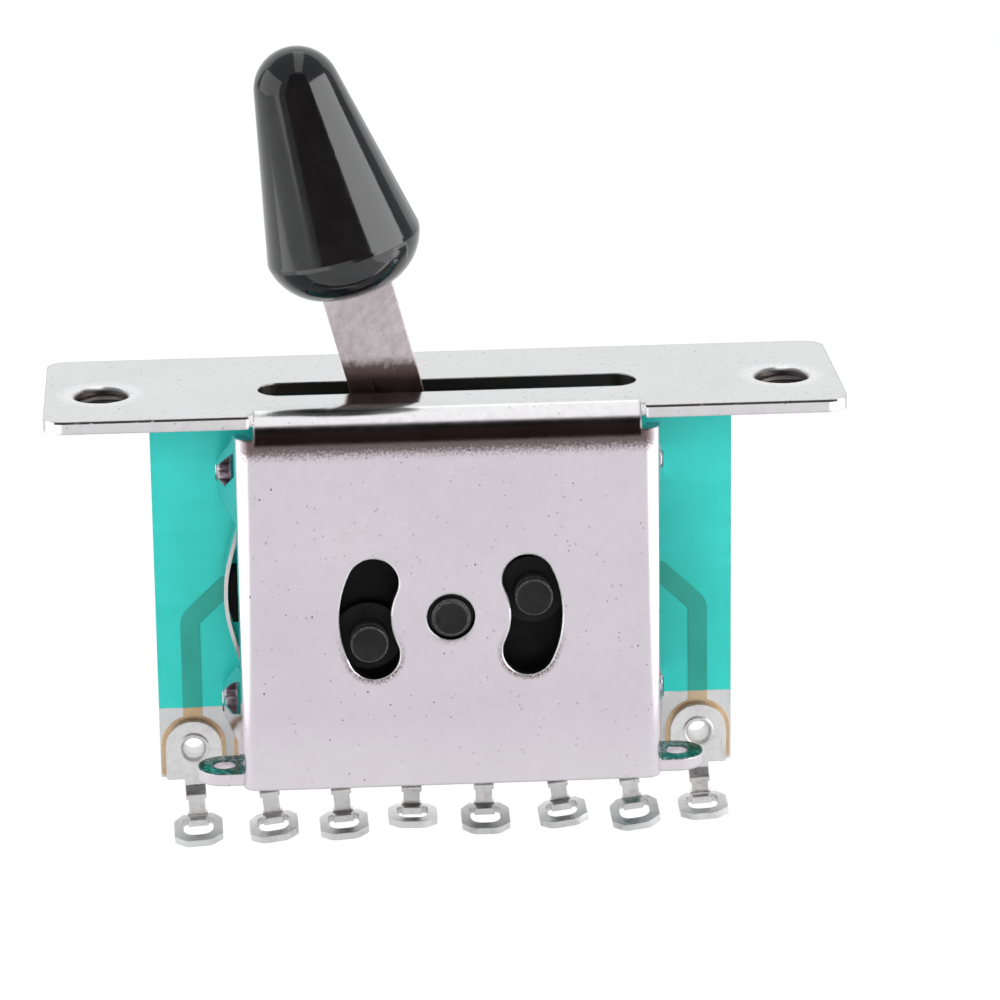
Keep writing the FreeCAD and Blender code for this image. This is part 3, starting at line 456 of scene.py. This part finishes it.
plate_nickel = nickel_plate()
leaf_steel = rolled_strip("leaf_steel", 0.08, (1, 1, 0.04), 0.002,
                          (0.62, 0.60, 0.59), (0.86, 0.85, 0.84), 0.14, 0.26)
bronze = rolled_strip("wiper_bronze", 0.1, (0.08, 1, 1), 0.003,
                      (0.52, 0.30, 0.13), (0.74, 0.47, 0.23), 0.2, 0.34)
dress("frame", plate_nickel)
dress("lever_blade", blade_steel())
dress("knob", knob_plastic())
dress("rotor", moulded_black("rotor_plastic", 0.010, 0.022))
dress("detent_pad", moulded_black("pad_plastic", 0.008, 0.016))
dress("circuit_board", board_finish())
dress("detent_spring", leaf_steel)
dress("wiper_left", bronze)
dress("wiper_right", bronze)
copper = track_finish()
lug_tin = tin_finish("lug_tin", 0.0, 0.6)
eyelet_tin = tin_finish("eyelet_tin", 0.12, 0.15)
for number in LUGS:
    dress(f"copper_track_{number}", copper)
    dress(f"solder_lug_{number}", lug_tin)
    dress(f"eyelet_{number}", eyelet_tin)


# Pieces made here

def new_piece(name, points, faces):
    """A mesh object through points and faces, linked to the scene."""
    surface = bpy.data.meshes.new(name)
    surface.from_pydata(points, [], faces)
    piece = bpy.data.objects.new(name, surface)
    scene.collection.objects.link(piece)
    return piece


def tube_piece(name, points, body, material):
    """A smooth tube over a grid of points: the first count goes round it, the second along it."""
    around, along = points.shape[:2]
    row, column = np.meshgrid(np.arange(around), np.arange(along - 1), indexing="ij")
    after = (row + 1) % around
    faces = np.stack([row * along + column, after * along + column,
                      after * along + column + 1, row * along + column + 1], axis=-1).reshape(-1, 4)
    piece = new_piece(name, points.reshape(-1, 3).tolist(), faces.tolist())
    piece.data.polygons.foreach_set("use_smooth", np.ones(len(faces), bool))
    piece.data.update()
    piece.data.materials.append(material)
    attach(piece, body)


def screw_thread(name, x):
    """Internal thread of a mounting hole: a ridge that winds down and fades out at both ends.
    crest radius = wall - ridge * fade, depth = start - pitch * turns."""
    pitch, count, wall, ridge, start = 0.5, 2.2, 1.51, 0.19, -0.50
    turns = np.linspace(0.0, count, 140)
    fade = np.clip(np.minimum(turns, count - turns) / 0.2, 0.0, 1.0)
    # Cross section of the ridge as (share of its height, distance above its middle)
    section = np.array([(0.0, -0.21), (1.0, -0.03), (1.0, 0.03), (0.0, 0.21), (-0.2, 0.0)])
    radius = wall - ridge * section[:, :1] * fade
    drop = start - pitch * turns + section[:, 1:]
    angle = turns * 2 * math.pi
    points = np.stack([x + radius * np.cos(angle), radius * np.sin(angle), drop], axis=-1) * MM
    tube_piece(name, points, "switch_body", plate_nickel)


screw_thread("thread_left", -HOLE_X)
screw_thread("thread_right", HOLE_X)


# Floor, world, lights and card, in metres

def studio_sheet(name, points, faces):
    """A sheet for the studio, not attached to the part."""
    piece = new_piece(name, points, faces)
    return piece


FLOOR_Z, FLOOR_HALF = -0.034, 3
corners = [(x * FLOOR_HALF, y * FLOOR_HALF, FLOOR_Z) for x, y in ((-1, -1), (1, -1), (1, 1), (-1, 1))]
floor = studio_sheet("floor", corners, [(0, 1, 2, 3)])
pale = Finish("pale_floor")
pale.look(pale.ramp(pale.noise(300.0), (0.3, (0.86, 0.86, 0.86)), (0.7, (0.88, 0.88, 0.88))), 0.9)
# The camera sees most of the floor as a white glow, everything else as plain paint
rays = pale.node("ShaderNodeLightPath")
glow = pale.node("ShaderNodeEmission")
glow.inputs["Color"].default_value = (*WHITE, 1)
glow.inputs["Strength"].default_value = 1.06
shown = pale.node("ShaderNodeMixShader")
pale.join(pale.times(rays.outputs["Is Camera Ray"], 0.88), shown.inputs["Fac"])
pale.join(pale.skin.outputs["BSDF"], shown.inputs[1])
pale.join(glow.outputs["Emission"], shown.inputs[2])
pale.join(shown.outputs["Shader"], pale.out.inputs["Surface"])
floor.data.materials.append(pale.material)

# The camera sees a white world, everything else a dimmer and cooler one
world = bpy.data.worlds.new("studio")
scene.world = world
world.use_nodes = True
air = world.node_tree
air.nodes.clear()
air_out, air_mix, air_rays, air_seen, air_light = (
    air.nodes.new("ShaderNode" + kind)
    for kind in ("OutputWorld", "MixShader", "LightPath", "Background", "Background"))
for backdrop, colour, strength in ((air_seen, WHITE, 1.0), (air_light, (0.95, 0.97, 1.0), 0.30)):
    backdrop.inputs["Color"].default_value = (*colour, 1)
    backdrop.inputs["Strength"].default_value = strength
air.links.new(air_rays.outputs["Is Camera Ray"], air_mix.inputs["Fac"])
air.links.new(air_light.outputs["Background"], air_mix.inputs[1])
air.links.new(air_seen.outputs["Background"], air_mix.inputs[2])
air.links.new(air_mix.outputs["Shader"], air_out.inputs["Surface"])

# Softboxes: name, place, aim, width, height, power in watts, and the kind of rays that misses them
softboxes = (
    ("overhead_softbox", (0.04, 0.07, 0.62), (0.04, 0.07, 0), 0.20, 0.86, 0.45, None),
    ("overhead_fill", (0.0, 0.07, 0.62), (0, 0.07, 0), 1.1, 0.86, 2.9, "glossy"),
    ("back_softbox", (0.05, 0.85, 0.40), (0, 0, 0), 2.4, 1.1, 5.0, None),
    ("right_softbox", (0.46, -0.20, 0.14), (0, 0, 0.01), 0.60, 0.36, 1.9, "diffuse"),
    ("left_softbox", (-0.50, -0.05, 0.14), (0, 0, 0.01), 0.70, 0.36, 0.75, "diffuse"),
    ("front_fill", (0.0, -0.80, 0.26), (0, 0, -0.01), 1.2, 0.5, 4.0, "glossy"),
    ("table_glow", (-0.13, -0.05, -0.033), (-0.13, -0.05, 0.5), 0.16, 0.20, 0.085, "camera"),
    ("table_glow", (0.13, -0.05, -0.033), (0.13, -0.05, 0.5), 0.16, 0.20, 0.085, "camera"),
)
for name, place, aim, width, height, power, missed_by in softboxes:
    lamp = bpy.data.lights.new(name, "AREA")
    lamp.shape = "RECTANGLE"
    lamp.size = width
    lamp.size_y = height
    lamp.energy = power
    softbox = bpy.data.objects.new(name, lamp)
    scene.collection.objects.link(softbox)
    softbox.location = place
    softbox.rotation_euler = (Vector(aim) - Vector(place)).to_track_quat("-Z", "Y").to_euler()
    if missed_by:
        setattr(softbox, "visible_" + missed_by, False)

# A curved card in front, seen only in reflections: brown near the table, black above
CARD_HALF, CARD_BLACK_FROM = 0.20, 0.28
card_rows = ((-0.205, -0.0335), (-0.25, 0.0), (-0.29, 0.06), (-0.37, 0.30), (-0.34, 0.48))
card = studio_sheet("front_dark",
                    [(side * CARD_HALF, depth, height) for depth, height in card_rows for side in (-1, 1)],
                    [(2 * i, 2 * i + 1, 2 * i + 3, 2 * i + 2) for i in range(len(card_rows) - 1)])
card.visible_camera = False
card.visible_diffuse = False
card.visible_shadow = False
dark = Finish("front_dark_dark")
dusk = dark.ramp(dark.level(dark.axis("Z"), 0.0, CARD_BLACK_FROM / MM), (0.0, (0.060, 0.036, 0.028)),
                 (0.6, (0.030, 0.020, 0.017)), (1.0, (0.006, 0.005, 0.005)))
dark.join(dusk, dark.skin.inputs["Emission Color"])
card.data.materials.append(dark.look(BLACK, 1.0, Specular_IOR_Level=0.0, Emission_Strength=1.0))


# Camera matched to the photograph: its angles, then the shift of the part across and up the picture
# and its distance in millimetres, then the focal length and the picture's width in pixels
YAW, PITCH, ROLL = math.radians(-3.548), math.radians(17.201), math.radians(-0.73)
ACROSS, UP, DISTANCE = -3.481, 7.0, 291.121
FOCAL, PICTURE = 4802.18, 1000.0
back = np.array([math.sin(YAW) * math.cos(PITCH), -math.cos(YAW) * math.cos(PITCH), math.sin(PITCH)])
right = np.array([math.cos(YAW), math.sin(YAW), 0.0])
level = np.array([right, np.cross(back, right), back])
roll = np.array([[math.cos(ROLL), math.sin(ROLL), 0], [-math.sin(ROLL), math.cos(ROLL), 0], [0, 0, 1]])
axes = roll @ level
stand = -axes.T @ np.array([ACROSS, UP, -DISTANCE]) * MM
lens = bpy.data.cameras.new("camera")
lens.sensor_width = 36.0
lens.lens = FOCAL / PICTURE * lens.sensor_width
lens.clip_start = 0.01
lens.clip_end = 20.0
camera = bpy.data.objects.new("camera", lens)
scene.collection.objects.link(camera)
camera.matrix_world = Matrix.Translation(Vector(stand)) @ Matrix(axes.T.tolist()).to_4x4()
scene.camera = camera

scene.view_settings.view_transform = "Standard"
